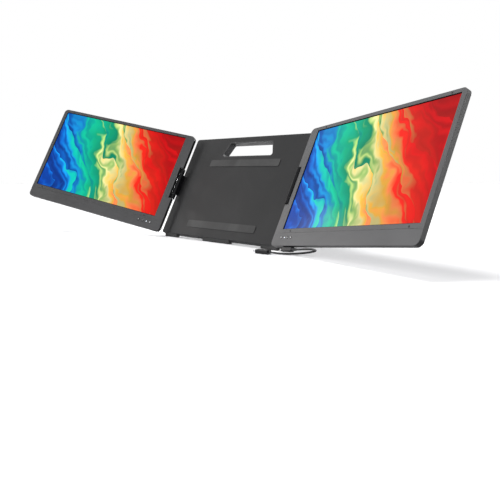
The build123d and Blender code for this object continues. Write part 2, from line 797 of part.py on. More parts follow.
with BuildPart() as kickstand_frame:
    with BuildSketch(stand.offset(-stand_front)):
        half_frame = [
            (stand_tab_inner, -stand_front),
            (stand_tab_inner, stand_front),
            (stand_top_half, stand_front),
            (stand_waist_half, -stand_waist),
            (stand_shin_half, -frame_end),
        ]
        Polygon(symmetric(half_frame))
    extrude(amount=stand_thickness)
    tab_tops = kickstand_frame.edges().filter_by(Axis.X).group_by(Axis(stand.origin, stand.y_dir))[-1]
    fillet(tab_tops, radius=stand_front - 0.1)
    with BuildSketch(stand.offset(-stand_front)):
        field_outline()
    extrude(amount=field_depth, mode=Mode.SUBTRACT)
    stand_back = kickstand_frame.faces().sort_by(Axis(stand.origin, stand.z_dir))[0]
    chamfer(stand_back.inner_wires()[0].edges(), length=field_edge)
    with BuildSketch(stand.offset(-stand_front)):
        field_outline(window_inset, window_top)
    extrude(amount=stand_thickness, mode=Mode.SUBTRACT)
    for side in (-1, 1):
        with BuildSketch(Plane(origin=stand.origin + X * (side * stand_pin_inner), x_dir=UP, z_dir=X * side)):
            Circle(stand_pin_radius + press_gap)
        extrude(amount=stand_top_half - stand_pin_inner + 1, mode=Mode.SUBTRACT)
save(kickstand_frame, "kickstand_frame")

with BuildPart() as kickstand_inlay:
    with BuildSketch(stand.offset(-stand_front + field_depth)):
        field_outline(slip_gap)
    extrude(amount=-inlay_thickness)
    with BuildSketch(stand.offset(-stand_front + field_depth)):
        field_outline(window_inset, window_top)
    extrude(amount=-inlay_thickness, mode=Mode.SUBTRACT)
save(kickstand_inlay, "kickstand_inlay")

with BuildPart() as kickstand_foot:
    with BuildSketch(stand.offset(-stand_front)):
        with Locations((0, -frame_end - stand_foot_height / 2)):
            Rectangle(2 * stand_foot_half, stand_foot_height)
    extrude(amount=stand_thickness)
    tip_edges = kickstand_foot.edges().filter_by(Axis.X).group_by(Axis(stand.origin, stand.y_dir))[0]
    fillet(tip_edges, radius=tip_radius - 0.05)
save(kickstand_foot, "kickstand_foot")

with BuildPart() as kickstand_pins:
    for side in (-1, 1):
        with BuildSketch(Plane(origin=stand.origin + X * (side * stand_pin_inner), x_dir=UP, z_dir=X * side)):
            Circle(stand_pin_radius)
        extrude(amount=stand_pin_outer - stand_pin_inner)
save(kickstand_pins, "kickstand_pins")

with BuildPart() as kickstand_hinge_housings:
    for side in (-1, 1):
        with BuildSketch(panel.offset(plate_back + housing_skin)):
            with Locations((side * sum(housing_x) / 2, stand_pivot_up)):
                Rectangle(housing_x[1] - housing_x[0], 2 * housing_half)
        extrude(amount=housing_depth - housing_skin)
        with BuildSketch(Plane(origin=stand.origin + X * (side * housing_x[0]), x_dir=UP, z_dir=X * side)):
            Circle(stand_pin_radius + running_gap)
        extrude(amount=housing_x[1] - housing_x[0], mode=Mode.SUBTRACT)
save(kickstand_hinge_housings, "kickstand_hinge_housings")

# ==== USB-C sockets, plugs and lead ====

with BuildPart() as usb_sockets:
    shell_size = [side + 2 * socket_wall for side in socket_mouth]
    slots_up(socket_centres, shell_size, socket_set_back, socket_top)
    slots_up(socket_centres, socket_mouth, socket_set_back, socket_top - socket_wall, Mode.SUBTRACT)
save(usb_sockets, "right_usb_sockets")

plug_across = socket_across[0]
plug_deep = (socket_deep - plug_body[1] / 2, socket_deep + plug_body[1] / 2)
arm_across = (plug_across - plug_body[0] / 2, plug_across + plug_arm - plug_body[0] / 2)
arm_up = (-seat_gap - plug_drop, -seat_gap)

with BuildPart() as wing_plug_tip:
    slots_up(socket_centres[:1], plug_tip, -seat_gap, socket_top - socket_wall - seat_gap)
save(wing_plug_tip, "wing_plug_tip")

boot_start = right.frame.from_local_coords((arm_across[1], sum(arm_up) / 2, -socket_deep))
boot_plane = Plane(origin=boot_start, x_dir=right.frame.z_dir, z_dir=right.frame.x_dir)

with BuildPart() as wing_plug:
    box_on(right, arm_across, arm_up, plug_deep)
    fillet(wing_plug.edges().filter_by(Axis(right.frame.origin, right.frame.x_dir)), radius=1.6)
    with BuildSketch(boot_plane):
        Circle(plug_body[1] / 2 - 0.6)
    with BuildSketch(boot_plane.offset(plug_boot)):
        Circle(lead_diameter / 2 + 0.5)
    loft()
save(wing_plug, "wing_plug")

lead_start = boot_start + right.frame.x_dir * plug_boot
far_direction = Vector(-1.0, -0.15, 0.0).normalized()
far_plug_start = Vector(192.6, -44.2, 3.3)

# The lead runs out along the wing's lower edge, turns back behind it and lies on the table to the far plug.
lead_route = [
    lead_start,
    lead_start + right.frame.x_dir * 7.7,
    Vector(256.0, -30.0, 12.6),
    Vector(263.0, -20.5, 12.4),
    Vector(261.0, -9.0, 9.6),
    Vector(250.5, -3.5, 6.4),
    Vector(239.0, -8.0, 3.8),
    Vector(228.5, -17.5, 2.3),
    Vector(218.0, -28.0, 1.7),
    Vector(208.0, -38.0, 2.1),
    far_plug_start - far_direction * 7.0,
    far_plug_start,
]
lead_radii = []
for before, here, after in zip(lead_route, lead_route[1:], lead_route[2:]):
    turn = radians((here - before).get_angle(after - here))
    shorter = min((here - before).length, (after - here).length)
    lead_radii.append(0.45 * shorter / (sin(turn / 2) / cos(turn / 2)))
print("lead radii", [round(radius, 1) for radius in lead_radii])

with BuildPart() as usb_lead:
    with BuildLine() as lead_line:
        FilletPolyline(*lead_route, radius=lead_radii)
    with BuildSketch(Plane(origin=lead_start, z_dir=lead_route[1] - lead_route[0])):
        Circle(lead_diameter / 2)
    sweep()
lead_length = lead_line.wires()[0].length
print("lead length", round(lead_length, 1), "volume", round(usb_lead.part.volume, 1))
print("section times length", round(3.14159265 * lead_diameter**2 / 4 * lead_length, 1))
save(usb_lead, "usb_lead")

far_plane = Plane(origin=far_plug_start, x_dir=(0, 0, 1), z_dir=far_direction)
with BuildPart() as far_plug:
    with BuildSketch(far_plane):
        RectangleRounded(plug_body[1] - 0.4, plug_body[0], 2.0)
    extrude(amount=far_plug_length)
save(far_plug, "far_plug")

with BuildPart() as far_plug_tip:
    with BuildSketch(far_plane.offset(far_plug_length)):
        SlotOverall(plug_tip[0], plug_tip[1], rotation=90)
    extrude(amount=far_tip_length)
save(far_plug_tip, "far_plug_tip")

print("stand angle", round(stand_angle, 3))
for wing in (left, right):
    print(wing.name, "hinge axis at", [round(v, 4) for v in wing.axis_point])
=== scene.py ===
"""Laptop screen extender: finishes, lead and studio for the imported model.

Each group of pieces has an operator that gives it its finish, and the stage has one of its own.
The sizes and colours that a user would change are in the property groups. All lengths are in
metres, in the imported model's frame: the origin is on the table under the base feet, +X to the
right, +Y to the back and +Z up.
"""

from math import cos, radians, sin

import bpy
import numpy as np
from mathutils import Matrix, Vector


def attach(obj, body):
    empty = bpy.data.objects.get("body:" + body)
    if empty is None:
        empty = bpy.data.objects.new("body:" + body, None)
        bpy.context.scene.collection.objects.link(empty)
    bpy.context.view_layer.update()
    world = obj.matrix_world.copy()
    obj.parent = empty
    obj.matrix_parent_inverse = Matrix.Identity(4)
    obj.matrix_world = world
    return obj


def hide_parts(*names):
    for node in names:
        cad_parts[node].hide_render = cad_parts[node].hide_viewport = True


bl_info = {
    "name": "Laptop Screen Extender Looks",
    "version": (1, 0, 0),
    "blender": (4, 5, 0),
    "location": "3D View > Sidebar > Extender",
    "description": "Gives a folding twin-display panel its finishes, lead and studio",
    "category": "Object",
}

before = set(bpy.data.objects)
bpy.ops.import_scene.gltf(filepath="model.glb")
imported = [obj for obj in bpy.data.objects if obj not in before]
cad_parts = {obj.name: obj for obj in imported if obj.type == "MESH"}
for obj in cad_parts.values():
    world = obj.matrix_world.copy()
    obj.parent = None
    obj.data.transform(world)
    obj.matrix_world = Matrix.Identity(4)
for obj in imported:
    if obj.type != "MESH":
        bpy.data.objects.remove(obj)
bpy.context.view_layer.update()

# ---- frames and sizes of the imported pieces

LEAN = radians(26.4)
ACROSS = Vector((1, 0, 0))
UP = Vector((0, sin(LEAN), cos(LEAN)))
FRONT = Vector((0, -cos(LEAN), sin(LEAN)))
PANEL_ORIGIN = Vector((0, -0.0192418, 0.0095))
HINGE_EDGE = 0.167
SIDES = {"left": (-1, radians(27.1)), "right": (1, radians(12.7))}

# Sizes on a wing's front, from its hinge edge and its bottom edge.
INNER_BEZEL = 0.0221
CHIN_HEIGHT = 0.0298
ACTIVE_WIDTH = 0.3094
ACTIVE_HEIGHT = 0.174
BUTTON_UP = 0.014
BUTTON_ACROSS = {"power_button": 0.026, "minus_button": 0.044, "plus_button": 0.054}

# How far behind its front face a wing's narrow edges begin and end; that band gets a painted
# shade.
RIM_FROM = 0.0005
RIM_TO = 0.008

# The hinge leaf is bare steel from this far beside the hinge edge, and this far behind the front.
BARE_BESIDE = {"left": 0.007, "right": 0.0086}
BARE_BEHIND = 0.0056

# The marks on the button caps, in millimetres about a cap's middle, and how far out they start.
MILLIMETRE = 0.001
MARK_ABOVE = 0.2
STROKE_REACH = 1.25
STROKE_HALF = 0.3
RING_RADIUS = 1.1
RING_HALF = 0.25
RING_GAP_HALF = 0.5
RING_BAR_UP = 0.8
RING_BAR_REACH = 0.65

# The middle of the lead, from the plug in the wing to the plug at its far end.
LEAD_ROUTE = [
    (0.23867, -0.03055, 0.01059),
    (0.24618, -0.03207, 0.01135),
    (0.2560, -0.0300, 0.0126),
    (0.2630, -0.0205, 0.0124),
    (0.2610, -0.0090, 0.0096),
    (0.2505, -0.0035, 0.0064),
    (0.2390, -0.0080, 0.0038),
    (0.2285, -0.0175, 0.0023),
    (0.2180, -0.0280, 0.0017),
    (0.2080, -0.0380, 0.0021),
    (0.19952, -0.04316, 0.0033),
    (0.1926, -0.0442, 0.0033),
]

# ---- colours that no setting changes

MOULDED_BLACK = (0.012, 0.012, 0.013)
CAST_BLACK = (0.006, 0.006, 0.007)
HOUSING_GREY = (0.030, 0.030, 0.032)
RUBBER_BLACK = (0.020, 0.020, 0.020)
PAD_BLACK = (0.018, 0.018, 0.018)
RUBBER_BLOOM = (0.2, 0.2, 0.2)
UNLIT = (0.0, 0.0, 0.0)
MARK_WHITE = (0.85, 0.85, 0.86)
GUIDE_WHITE = (0.80, 0.81, 0.83)
LIGHT_LENS = (0.80, 0.83, 0.88)
LIGHT_GLOW = (0.75, 0.85, 1.0)
DARK_GLASS = (0.004, 0.004, 0.005)
SHEET_STEEL = (0.50, 0.50, 0.51)
SCREW_STEEL = (0.48, 0.48, 0.49)
TURNED_STEEL = (0.60, 0.60, 0.61)
PLATED_STEEL = (0.62, 0.62, 0.63)
PLUG_STEEL = (0.62, 0.62, 0.64)
BOARD_GREEN = (0.02, 0.13, 0.06)
CHIP_BLACK = (0.025, 0.025, 0.026)
RIBBON_AMBER = (0.50, 0.27, 0.05)
PICTURE_COLOURS = (
    (0.00, (0.001, 0.060, 0.420)),
    (0.09, (0.001, 0.160, 0.700)),
    (0.17, (0.006, 0.360, 0.920)),
    (0.24, (0.001, 0.520, 0.470)),
    (0.33, (0.002, 0.580, 0.350)),
    (0.42, (0.004, 0.380, 0.180)),
    (0.49, (0.420, 0.700, 0.190)),
    (0.55, (0.930, 0.880, 0.370)),
    (0.63, (1.000, 0.520, 0.060)),
    (0.71, (1.000, 0.270, 0.080)),
    (0.79, (0.900, 0.020, 0.008)),
    (1.00, (0.560, 0.002, 0.003)),
)

# ---- the studio

# Each lamp's name, setting, place, target, width, and the angle that it spreads over.
LAMPS = (
    ("front", "front_power", (0.30, -0.62, 0.36), (0.25, -0.05, 0.1), 0.35, 180),
    ("side", "side_power", (-1.85, -0.78, 0.62), (0.25, -0.05, 0.1), 0.8, 180),
    ("back", "back_power", (-0.30, 0.38, 0.13), (-0.26, -0.02, 0.09), 0.16, 75),
    ("back corner", "corner_power", (1.20, 1.95, 0.36), (0.2, 0, 0.1), 0.6, 180),
)

# Each overhead light's name, the way to it, and its share of the overhead strength.
SUNS = (
    ("above", (-0.40, -0.10, 0.91), 1.0),
    ("across", (0.30, 0.50, 0.81), 0.4),
)
SUN_ANGLE = radians(24)

CAMERA_PLACE = (0.9648298, -0.7329038, 0.1280207)
CAMERA_VIEW = (-0.7598851, 0.6395462, -0.1164271)
CAMERA_TOP = (-0.0888293, 0.0752647, 0.9931992)
CAMERA_LENS = 48.158
CAMERA_SENSOR = 36.0
CAMERA_REACH = 20.0

# The floor's half width and level, and where and how far its glow grows outwards.
FLOOR_HALF = 6.0
FLOOR_LEVEL = -0.0002
GLOW_NEAR = 0.5
GLOW_FAR = 1.5
GLOW_RISE = 0.06
WHITE = (1, 1, 1, 1)


def wing_frame(side):
    """A wing's lower corner at its hinge edge, and its rightward and frontward directions."""
    sign, swing = SIDES[side]
    right = ACROSS * cos(swing) + FRONT * sign * sin(swing)
    front = FRONT * cos(swing) - ACROSS * sign * sin(swing)
    return PANEL_ORIGIN + ACROSS * sign * HINGE_EDGE, right, front


# ---- shader building


class Shader:
    """The node tree of a material, an effect or the world, built in order."""

    def __init__(self, tree):
        self.tree = tree
        self.tree.nodes.clear()

    def feed(self, value, socket):
        """Links another socket to this one, or sets it to a plain value."""
        if isinstance(value, bpy.types.NodeSocket):
            self.tree.links.new(value, socket)
        else:
            socket.default_value = value

    def add(self, kind, inputs=None, **settings):
        """A node with its settings, and its inputs as plain values or as sockets to link."""
        node = self.tree.nodes.new(kind)
        for key, value in settings.items():
            setattr(node, key, value)
        for key, value in (inputs or {}).items():
            self.feed(value, node.inputs[key])
        return node

    def math(self, operation, first, second=0.0, clamp=False):
        """The result of one sum on one or two values."""
        settings = {"operation": operation, "use_clamp": clamp}
        return self.add("ShaderNodeMath", {0: first, 1: second}, **settings).outputs[0]

    def split(self, vector):
        """The x, y and z of a vector."""
        return self.add("ShaderNodeSeparateXYZ", {0: vector}).outputs

    def overlap(self, first, second):
        """One only where two masks are."""
        return self.math("MULTIPLY", first, second)

    def between(self, value, low, high):
        """One where a value lies between two others, and zero elsewhere."""
        above = self.math("GREATER_THAN", value, low)
        return self.overlap(above, self.math("LESS_THAN", value, high))

    def near(self, value, reach):
        """One where a value lies within a reach of zero, and zero elsewhere."""
        return self.math("LESS_THAN", self.math("ABSOLUTE", value), reach)

    def off_centre(self, value, middle, share):
        """How far a value lies from a middle, times a share."""
        return self.math("MULTIPLY", self.math("SUBTRACT", value, middle), share)

    def blend(self, share, first, second, mode="MIX"):
        """Two colours mixed by a share."""
        inputs = {0: share, 6: first, 7: second}
        return self.add("ShaderNodeMix", inputs, data_type="RGBA", blend_type=mode).outputs[2]

    def noise(self, place, scale, detail, distortion=0.0):
        """Cloudy noise at a place, as a value about 0.5."""
        inputs = {"Vector": place, "Scale": scale, "Detail": detail, "Distortion": distortion}
        return self.add("ShaderNodeTexNoise", inputs).outputs[0]

    def remap(self, value, low, high, to_low=0.0, to_high=1.0):
        """A value carried from one range to another, held at its ends."""
        inputs = {"Value": value, "From Min": low, "From Max": high}
        inputs |= {"To Min": to_low, "To Max": to_high}
        return self.add("ShaderNodeMapRange", inputs).outputs[0]


def effect(name):
    """A node group, made once; its builder turns the input sockets into the output sockets."""
    if name in bpy.data.node_groups:
        return bpy.data.node_groups[name]
    inputs, outputs, build = EFFECTS[name]
    tree = bpy.data.node_groups.new(name, "ShaderNodeTree")
    for label, kind, value in inputs:
        socket = tree.interface.new_socket(label, in_out="INPUT", socket_type=kind)
        if value is not None:
            socket.default_value = value
    for label, kind in outputs:
        tree.interface.new_socket(label, in_out="OUTPUT", socket_type=kind)
    shader = Shader(tree)
    start = shader.add("NodeGroupInput")
    end = shader.add("NodeGroupOutput")
    for socket, result in zip(end.inputs, build(shader, start.outputs)):
        tree.links.new(result, socket)
    return tree


def build_moulded_grain(shader, given):
    """Fine pits of spark-eroded plastic, with a slow change of tone over the piece."""
    pits = shader.noise(given["Vector"], scale=given["Density"], detail=3.0)
    slow = shader.noise(given["Vector"], scale=14.0, detail=2.0)
    return pits, shader.remap(slow, 0.3, 0.7)


def build_worn_highlit_edge(shader, given):
    """Where a rounded-off normal leaves the true one, broken up by noise: edge wear, and a painted
    edge highlight.
    """
    soft = shader.add("ShaderNodeBevel", {"Radius": given["Width"]}, samples=6)
    true = shader.add("ShaderNodeNewGeometry")
    normals = {0: soft.outputs[0], 1: true.outputs["Normal"]}
    turn = shader.add("ShaderNodeVectorMath", normals, operation="DOT_PRODUCT")
    edge = shader.remap(turn.outputs["Value"], 0.995, 0.86)
    noise = shader.noise(given["Vector"], scale=260.0, detail=4.0)
    return (shader.math("MULTIPLY", edge, shader.remap(noise, 0.35, 0.65), clamp=True),)


def build_brushed(shader, given):
    """Fine lines along the first axis."""
    inputs = {"Vector": given["Vector"], "Scale": (3.0, 400.0, 400.0)}
    stretched = shader.add("ShaderNodeMapping", inputs).outputs[0]
    lines = shader.noise(stretched, scale=given["Density"], detail=4.0)
    return lines, shader.remap(lines, 0.3, 0.7)


def build_handled(shader, given):
    """Faint smears and specks from handling."""
    noise = shader.noise(given["Vector"], scale=9.0, detail=5.0, distortion=1.2)
    smears = shader.remap(noise, 0.45, 0.75)
    cells = shader.add("ShaderNodeTexVoronoi", {"Vector": given["Vector"], "Scale": 420.0})
    specks = shader.remap(cells.outputs["Distance"], 0.10, 0.04)
    return (shader.math("MAXIMUM", smears, shader.math("MULTIPLY", specks, 0.35)),)


def silk_folds(shader, place, scale, distortion, profile):
    """Creased bands that run across the flow, as a value from 0 to 1."""
    inputs = {"Vector": place, "Scale": scale, "Distortion": distortion}
    inputs |= {"Detail": 2.0, "Detail Scale": 1.4}
    settings = {"wave_type": "BANDS", "bands_direction": "DIAGONAL", "wave_profile": profile}
    return shader.add("ShaderNodeTexWave", inputs, **settings).outputs[1]


def build_display_picture(shader, given):
    """Folded silk that turns from blue to red across the display, and the lit area as a mask.

    The given places run from 0 to 1 across the lit area, and go up it in the same unit.
    """
    across, up, _ = shader.split(given["Vector"])
    noise = shader.noise(given["Vector"], scale=2.6, detail=3.0)
    drift = shader.off_centre(noise, middle=0.5, share=0.5)
    lean = shader.off_centre(up, middle=0.28, share=0.30)
    sweep = shader.math("ADD", shader.math("ADD", across, drift), lean)
    slower = shader.math("MULTIPLY", up, 0.6)
    flow = shader.add("ShaderNodeCombineXYZ", {0: sweep, 1: slower}).outputs[0]
    broad = silk_folds(shader, flow, scale=2.9, distortion=6.0, profile="SAW")
    fine = silk_folds(shader, flow, scale=7.5, distortion=9.0, profile="SIN")
    broad_shift = shader.off_centre(broad, middle=0.5, share=0.15)
    fine_shift = shader.off_centre(fine, middle=0.5, share=0.07)
    shift = shader.math("ADD", broad_shift, fine_shift)
    ramp = shader.add("ShaderNodeValToRGB", {0: shader.math("ADD", sweep, shift)})
    stops = ramp.color_ramp.elements
    while len(stops) < len(PICTURE_COLOURS):
        stops.new(0.5)
    for stop, (position, colour) in zip(stops, PICTURE_COLOURS):
        stop.position = position
        stop.color = (*colour, 1)
    broad_shade = shader.remap(broad, 0.0, 1.0, to_low=0.70, to_high=1.15)
    fine_shade = shader.remap(fine, 0.0, 1.0, to_low=0.80, to_high=1.15)
    shade = shader.math("MULTIPLY", broad_shade, fine_shade)
    colour = shader.blend(1.0, ramp.outputs[0], shade, "MULTIPLY")
    columns = shader.between(across, 0.0, 1.0)
    rows = shader.between(up, 0.0, ACTIVE_HEIGHT / ACTIVE_WIDTH)
    return colour, shader.overlap(columns, rows)


VECTOR, NUMBER, COLOUR = "NodeSocketVector", "NodeSocketFloat", "NodeSocketColor"
PLACE = ("Vector", VECTOR, None)
EFFECTS = {
    "Moulded Grain": (
        (PLACE, ("Density", NUMBER, 2600.0)),
        (("Height", NUMBER), ("Tone", NUMBER)),
        build_moulded_grain,
    ),
    "Worn Edge": (
        (PLACE, ("Width", NUMBER, 0.0005)),
        (("Mask", NUMBER),),
        build_worn_highlit_edge,
    ),
    "Brushed Lines": (
        (PLACE, ("Density", NUMBER, 5.0)),
        (("Height", NUMBER), ("Tone", NUMBER)),
        build_brushed,
    ),
    "Handled": (
        (PLACE,),
        (("Mask", NUMBER),),
        build_handled,
    ),
    "Display Picture": (
        (PLACE,),
        (("Colour", COLOUR), ("Mask", NUMBER)),
        build_display_picture,
    ),
}


def use_effect(shader, name, **inputs):
    """One of the effects placed in a shader; returns its output sockets."""
    node = shader.add("ShaderNodeGroup", node_tree=effect(name))
    for label, value in inputs.items():
        shader.feed(value, node.inputs[label])
    return node.outputs


# ---- finishes


class Finish:
    """A material in the making: its shader, its Principled BSDF, and places on the piece."""

    def __init__(self, name, **constants):
        self.material = bpy.data.materials.new(name)
        self.material.use_nodes = True
        self.shader = Shader(self.material.node_tree)
        self.surface = self.shader.add("ShaderNodeBsdfPrincipled")
        for label, value in constants.items():
            self.surface.inputs[label.replace("_", " ")].default_value = value
        self.output = self.shader.add("ShaderNodeOutputMaterial", {0: self.surface.outputs[0]})
        self.place = self.shader.add("ShaderNodeTexCoord").outputs["Object"]

    def effect(self, name, **inputs):
        """One of the effects on this piece; returns its output sockets."""
        return use_effect(self.shader, name, Vector=self.place, **inputs)

    def drive(self, label, value):
        """Leads a value or colour that changes over the surface into the Principled BSDF."""
        self.shader.feed(value, self.surface.inputs[label])

    def bump(self, height, distance, strength=0.5):
        """Leads a height into the surface's normal."""
        inputs = {"Height": height, "Distance": distance, "Strength": strength}
        self.drive("Normal", self.shader.add("ShaderNodeBump", inputs).outputs[0])

    def on_wing(self, side, corner=(0.0, 0.0), size=1.0):
        """Places on a wing's front: rightwards, upwards and out of it, in units of a size."""
        origin, right, front = wing_frame(side)
        turn = Matrix((right, UP, front))
        shift = turn @ (origin + right * corner[0] + UP * corner[1]) * (-1.0 / size)
        inputs = {"Vector": self.place, "Location": shift, "Rotation": turn.to_euler()}
        inputs["Scale"] = (1.0 / size,) * 3
        return self.shader.add("ShaderNodeMapping", inputs).outputs[0]


def rgba(colour):
    """A colour with full alpha."""
    return (*colour[:3], 1.0)


def scaled(colour, factor):
    """A colour made darker or brighter by a factor, with full alpha."""
    return rgba([c * factor for c in colour])


def lighter(colour, share):
    """A colour moved towards white, with full alpha."""
    return rgba([c + (1 - c) * share for c in colour[:3]])


def moulded(name, colour, rough, metal=0.0, wear_and_highlight=0.25, specular=0.5, shaded_rim=None):
    """A moulded or cast finish: fine pits, a slow change of tone, handling marks, and paler edges
    that are partly wear and partly painted highlight.

    The last argument is a wing's side and the dark colour painted on its narrow edges, between the
    front face and the back, as painted shade.
    """
    finish = Finish(name, Metallic=metal, Specular_IOR_Level=specular)
    shader = finish.shader
    grain = finish.effect("Moulded Grain")
    edge = finish.effect("Worn Edge")
    handled = finish.effect("Handled")
    toned = shader.blend(grain["Tone"], scaled(colour, 0.9), scaled(colour, 1.1))
    # Paler edges: wear, and a painted highlight along the edges.
    worn_highlit = shader.math("MULTIPLY", edge["Mask"], wear_and_highlight)
    face = shader.blend(worn_highlit, toned, lighter(colour, 0.35))
    # Painted shade: the wing's narrow edges take a darker colour instead of being shaded by the
    # lamps.
    if shaded_rim:
        side, rim_shade_colour = shaded_rim
        out = shader.split(finish.on_wing(side))[2]
        face = shader.blend(shader.between(out, -RIM_TO, -RIM_FROM), face, rgba(rim_shade_colour))
    finish.drive("Base Color", face)
    finish.drive("Roughness", shader.remap(handled["Mask"], 0.0, 1.0, rough, rough * 0.82))
    finish.bump(grain["Height"], distance=0.00006)
    return finish.material


def brushed(name, colour, rough):
    """A brushed or satin metal: fine lines across, and brighter edges that are partly wear and
    partly painted highlight.
    """
    finish = Finish(name, Metallic=1.0)
    shader = finish.shader
    lines = finish.effect("Brushed Lines")
    edge = finish.effect("Worn Edge")
    toned = shader.blend(lines["Tone"], scaled(colour, 0.88), scaled(colour, 1.1))
    # Brighter edges: wear, and a painted highlight along the edges.
    worn_highlit = shader.math("MULTIPLY", edge["Mask"], 0.2)
    finish.drive("Base Color", shader.blend(worn_highlit, toned, lighter(colour, 0.4)))
    finish.drive("Roughness", shader.remap(lines["Tone"], 0.0, 1.0, rough * 0.9, rough * 1.15))
    finish.bump(lines["Height"], distance=0.00003, strength=0.3)
    return finish.material


def rubber(name, colour, density=1900.0):
    """Soft matte rubber with a dusty bloom."""
    finish = Finish(name)
    shader = finish.shader
    grain = finish.effect("Moulded Grain", Density=density)
    handled = finish.effect("Handled")
    bloom = shader.math("MULTIPLY", handled["Mask"], 0.12)
    finish.drive("Base Color", shader.blend(bloom, rgba(colour), rgba(RUBBER_BLOOM)))
    finish.drive("Roughness", shader.remap(grain["Tone"], 0.0, 1.0, 0.72, 0.88))
    finish.bump(grain["Height"], distance=0.00008)
    return finish.material


def display(name, side, brightness):
    """A lit display behind matte glass: the lit area shines and the border stays black."""
    left_edge = INNER_BEZEL if side == "right" else -(INNER_BEZEL + ACTIVE_WIDTH)
    finish = Finish(
        name,
        Base_Color=rgba(DARK_GLASS),
        Specular_IOR_Level=0.04,
        Emission_Strength=brightness,
    )
    shader = finish.shader
    lit_place = finish.on_wing(side, (left_edge, CHIN_HEIGHT), ACTIVE_WIDTH)
    picture = use_effect(shader, "Display Picture", Vector=lit_place)
    glow = shader.blend(picture["Mask"], rgba(UNLIT), picture["Colour"])
    finish.drive("Emission Color", glow)
    handled = finish.effect("Handled")
    finish.drive("Roughness", shader.remap(handled["Mask"], 0.0, 1.0, 0.12, 0.2))
    return finish.material


def hinge_leaf_finish(name, side, black, steel):
    """A black barrel, and a strip beside it whose back is bare satin steel."""
    finish = Finish(name, Specular_IOR_Level=0.12)
    shader = finish.shader
    across, _, out = shader.split(finish.on_wing(side))
    beside = shader.math("GREATER_THAN", shader.math("ABSOLUTE", across), BARE_BESIDE[side])
    strip = shader.overlap(beside, shader.math("LESS_THAN", out, -BARE_BEHIND))
    lines = finish.effect("Brushed Lines")
    bright = shader.blend(lines["Tone"], scaled(steel, 0.88), scaled(steel, 1.1))
    edge = finish.effect("Worn Edge")
    # Paler edges on the black: wear, and a painted highlight.
    worn_highlit = shader.math("MULTIPLY", edge["Mask"], 0.3)
    dark = shader.blend(worn_highlit, rgba(black), lighter(black, 0.3))
    finish.drive("Base Color", shader.blend(strip, dark, bright))
    finish.drive("Metallic", strip)
    finish.drive("Roughness", shader.remap(strip, 0.0, 1.0, 0.34, 0.26))
    finish.bump(lines["Height"], distance=0.00003, strength=0.3)
    return finish.material


def marked_cap(name, side, across, draw):
    """A button cap with a pale mark moulded in its top, drawn from places about its middle."""
    finish = Finish(name, Roughness=0.36, Specular_IOR_Level=0.15)
    shader = finish.shader
    middle = (SIDES[side][0] * across, BUTTON_UP)
    x, y, out = shader.split(finish.on_wing(side, middle, MILLIMETRE))
    shown = shader.overlap(draw(shader, x, y), shader.math("GREATER_THAN", out, MARK_ABOVE))
    finish.drive("Base Color", shader.blend(shown, rgba(MOULDED_BLACK), rgba(MARK_WHITE)))
    grain = finish.effect("Moulded Grain", Density=3600.0)
    finish.bump(grain["Height"], distance=0.00003)
    return finish.material


def bar(shader, along, aside, half_length, half_width):
    """One inside a bar about the middle, and zero outside it."""
    return shader.overlap(shader.near(along, half_length), shader.near(aside, half_width))


def minus_mark(shader, x, y):
    """A level bar."""
    return bar(shader, x, y, STROKE_REACH, STROKE_HALF)


def plus_mark(shader, x, y):
    """A level bar and an upright one."""
    return shader.math("MAXIMUM", minus_mark(shader, x, y), minus_mark(shader, y, x))


def ring_mark(shader, x, y):
    """A ring, open at the top, with an upright bar in the opening."""
    squares = shader.math("ADD", shader.math("POWER", x, 2.0), shader.math("POWER", y, 2.0))
    off_ring = shader.math("SUBTRACT", shader.math("SQRT", squares), RING_RADIUS)
    ring = shader.near(off_ring, RING_HALF)
    gap = shader.overlap(shader.near(x, RING_GAP_HALF), shader.math("GREATER_THAN", y, 0.0))
    ring = shader.overlap(ring, shader.math("SUBTRACT", 1.0, gap))
    above = shader.math("SUBTRACT", y, RING_BAR_UP)
    return shader.math("MAXIMUM", ring, bar(shader, above, x, RING_BAR_REACH, RING_HALF))


def give(material, *nodes):
    """Puts a finish on CAD nodes."""
    for node in nodes:
        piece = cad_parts[node]
        piece.data.materials.clear()
        piece.data.materials.append(material)


def both(*nodes):
    """The left and the right node of each name."""
    return [f"{side}_{node}" for side in SIDES for node in nodes]


# ---- what a user would change


class CasingLook(bpy.types.PropertyGroup):
    """Colours of the casings."""

    bezel: bpy.props.FloatVectorProperty(
        name="Bezel",
        description="Colour of the front bezels",
        subtype="COLOR",
        size=3,
        default=(0.076, 0.076, 0.078),
    )
    # A darker colour painted on the wings' narrow edges as shade.
    shaded_rim: bpy.props.FloatVectorProperty(
        name="Rim",
        description="Colour of the wings' narrow edges",
        subtype="COLOR",
        size=3,
        default=(0.012, 0.012, 0.0125),
    )
    cover: bpy.props.FloatVectorProperty(
        name="Rear cover",
        description="Colour of the wings' backs",
        subtype="COLOR",
        size=3,
        default=(0.046, 0.046, 0.048),
    )
    shell: bpy.props.FloatVectorProperty(
        name="Centre shell",
        description="Colour of the centre plate",
        subtype="COLOR",
        size=3,
        default=(0.012, 0.012, 0.0125),
    )
    field: bpy.props.FloatVectorProperty(
        name="Back panels",
        description="Colour of the flat fields",
        subtype="COLOR",
        size=3,
        default=(0.034, 0.035, 0.039),
    )
    stand: bpy.props.FloatVectorProperty(
        name="Kickstand",
        description="Colour of the kickstand",
        subtype="COLOR",
        size=3,
        default=(0.012, 0.012, 0.0125),
    )


class DisplayLook(bpy.types.PropertyGroup):
    """How bright the displays are."""

    brightness: bpy.props.FloatProperty(
        name="Brightness",
        description="How strongly the displays shine",
        min=0.0,
        max=10.0,
        default=1.0,
    )


class LeadLook(bpy.types.PropertyGroup):
    """Size and colour of the lead."""

    diameter: bpy.props.FloatProperty(
        name="Diameter",
        description="Outside diameter of the lead",
        unit="LENGTH",
        min=0.001,
        max=0.01,
        default=0.0032,
    )
    jacket: bpy.props.FloatVectorProperty(
        name="Jacket",
        description="Colour of the lead's jacket",
        subtype="COLOR",
        size=3,
        default=(0.022, 0.022, 0.024),
    )


